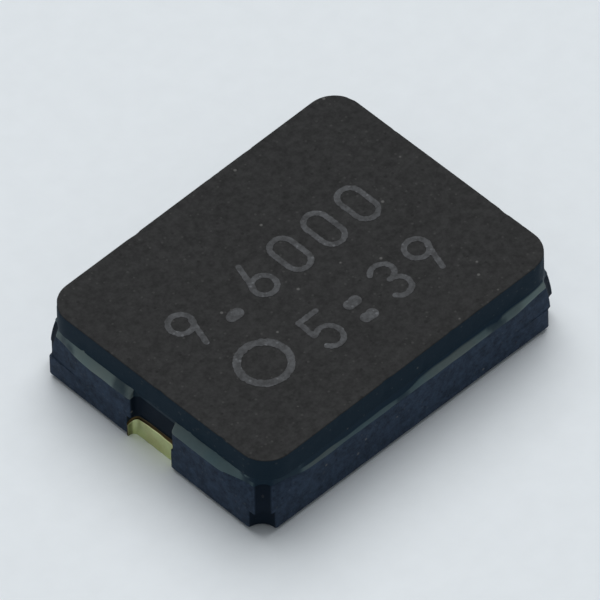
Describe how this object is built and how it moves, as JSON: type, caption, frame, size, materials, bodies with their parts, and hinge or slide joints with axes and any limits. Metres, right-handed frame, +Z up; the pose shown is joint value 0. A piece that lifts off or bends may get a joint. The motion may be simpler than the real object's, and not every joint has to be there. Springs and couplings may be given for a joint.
{
  "type": "crystal resonator",
  "caption": "Surface-mount crystal resonator: dark ceramic tray with grooved ends, glass-sealed flat ceramic lid, quartz blank and electrodes inside, plated solder pads beneath.",
  "frame": {"origin": "centre of the package's footprint, on the plane of the solder pads", "axes": "+X along the package, from the terminal next to the blank's clamped end to the other terminal; +Y across the package; +Z up, from the solder pads to the lid"},
  "size_m": [0.0032, 0.0024, 0.0008],
  "materials": {
    "base_ceramic": "matte, fired",
    "lid_ceramic": "matte, fired",
    "seal_glass": "satin",
    "terminal_gold": "satin plated",
    "quartz": "lapped",
    "electrode_silver": "satin",
    "silver_adhesive": "matte"
  },
  "bodies": {
    "root": {"ceramic_base": "base_ceramic", "glass_seal": "seal_glass", "lid": "lid_ceramic", "left_terminal": "terminal_gold", "right_terminal": "terminal_gold", "quartz_blank": "quartz", "upper_electrode": "electrode_silver", "lower_electrode": "electrode_silver", "front_adhesive": "silver_adhesive", "rear_adhesive": "silver_adhesive"}
  },
  "joints": []
}
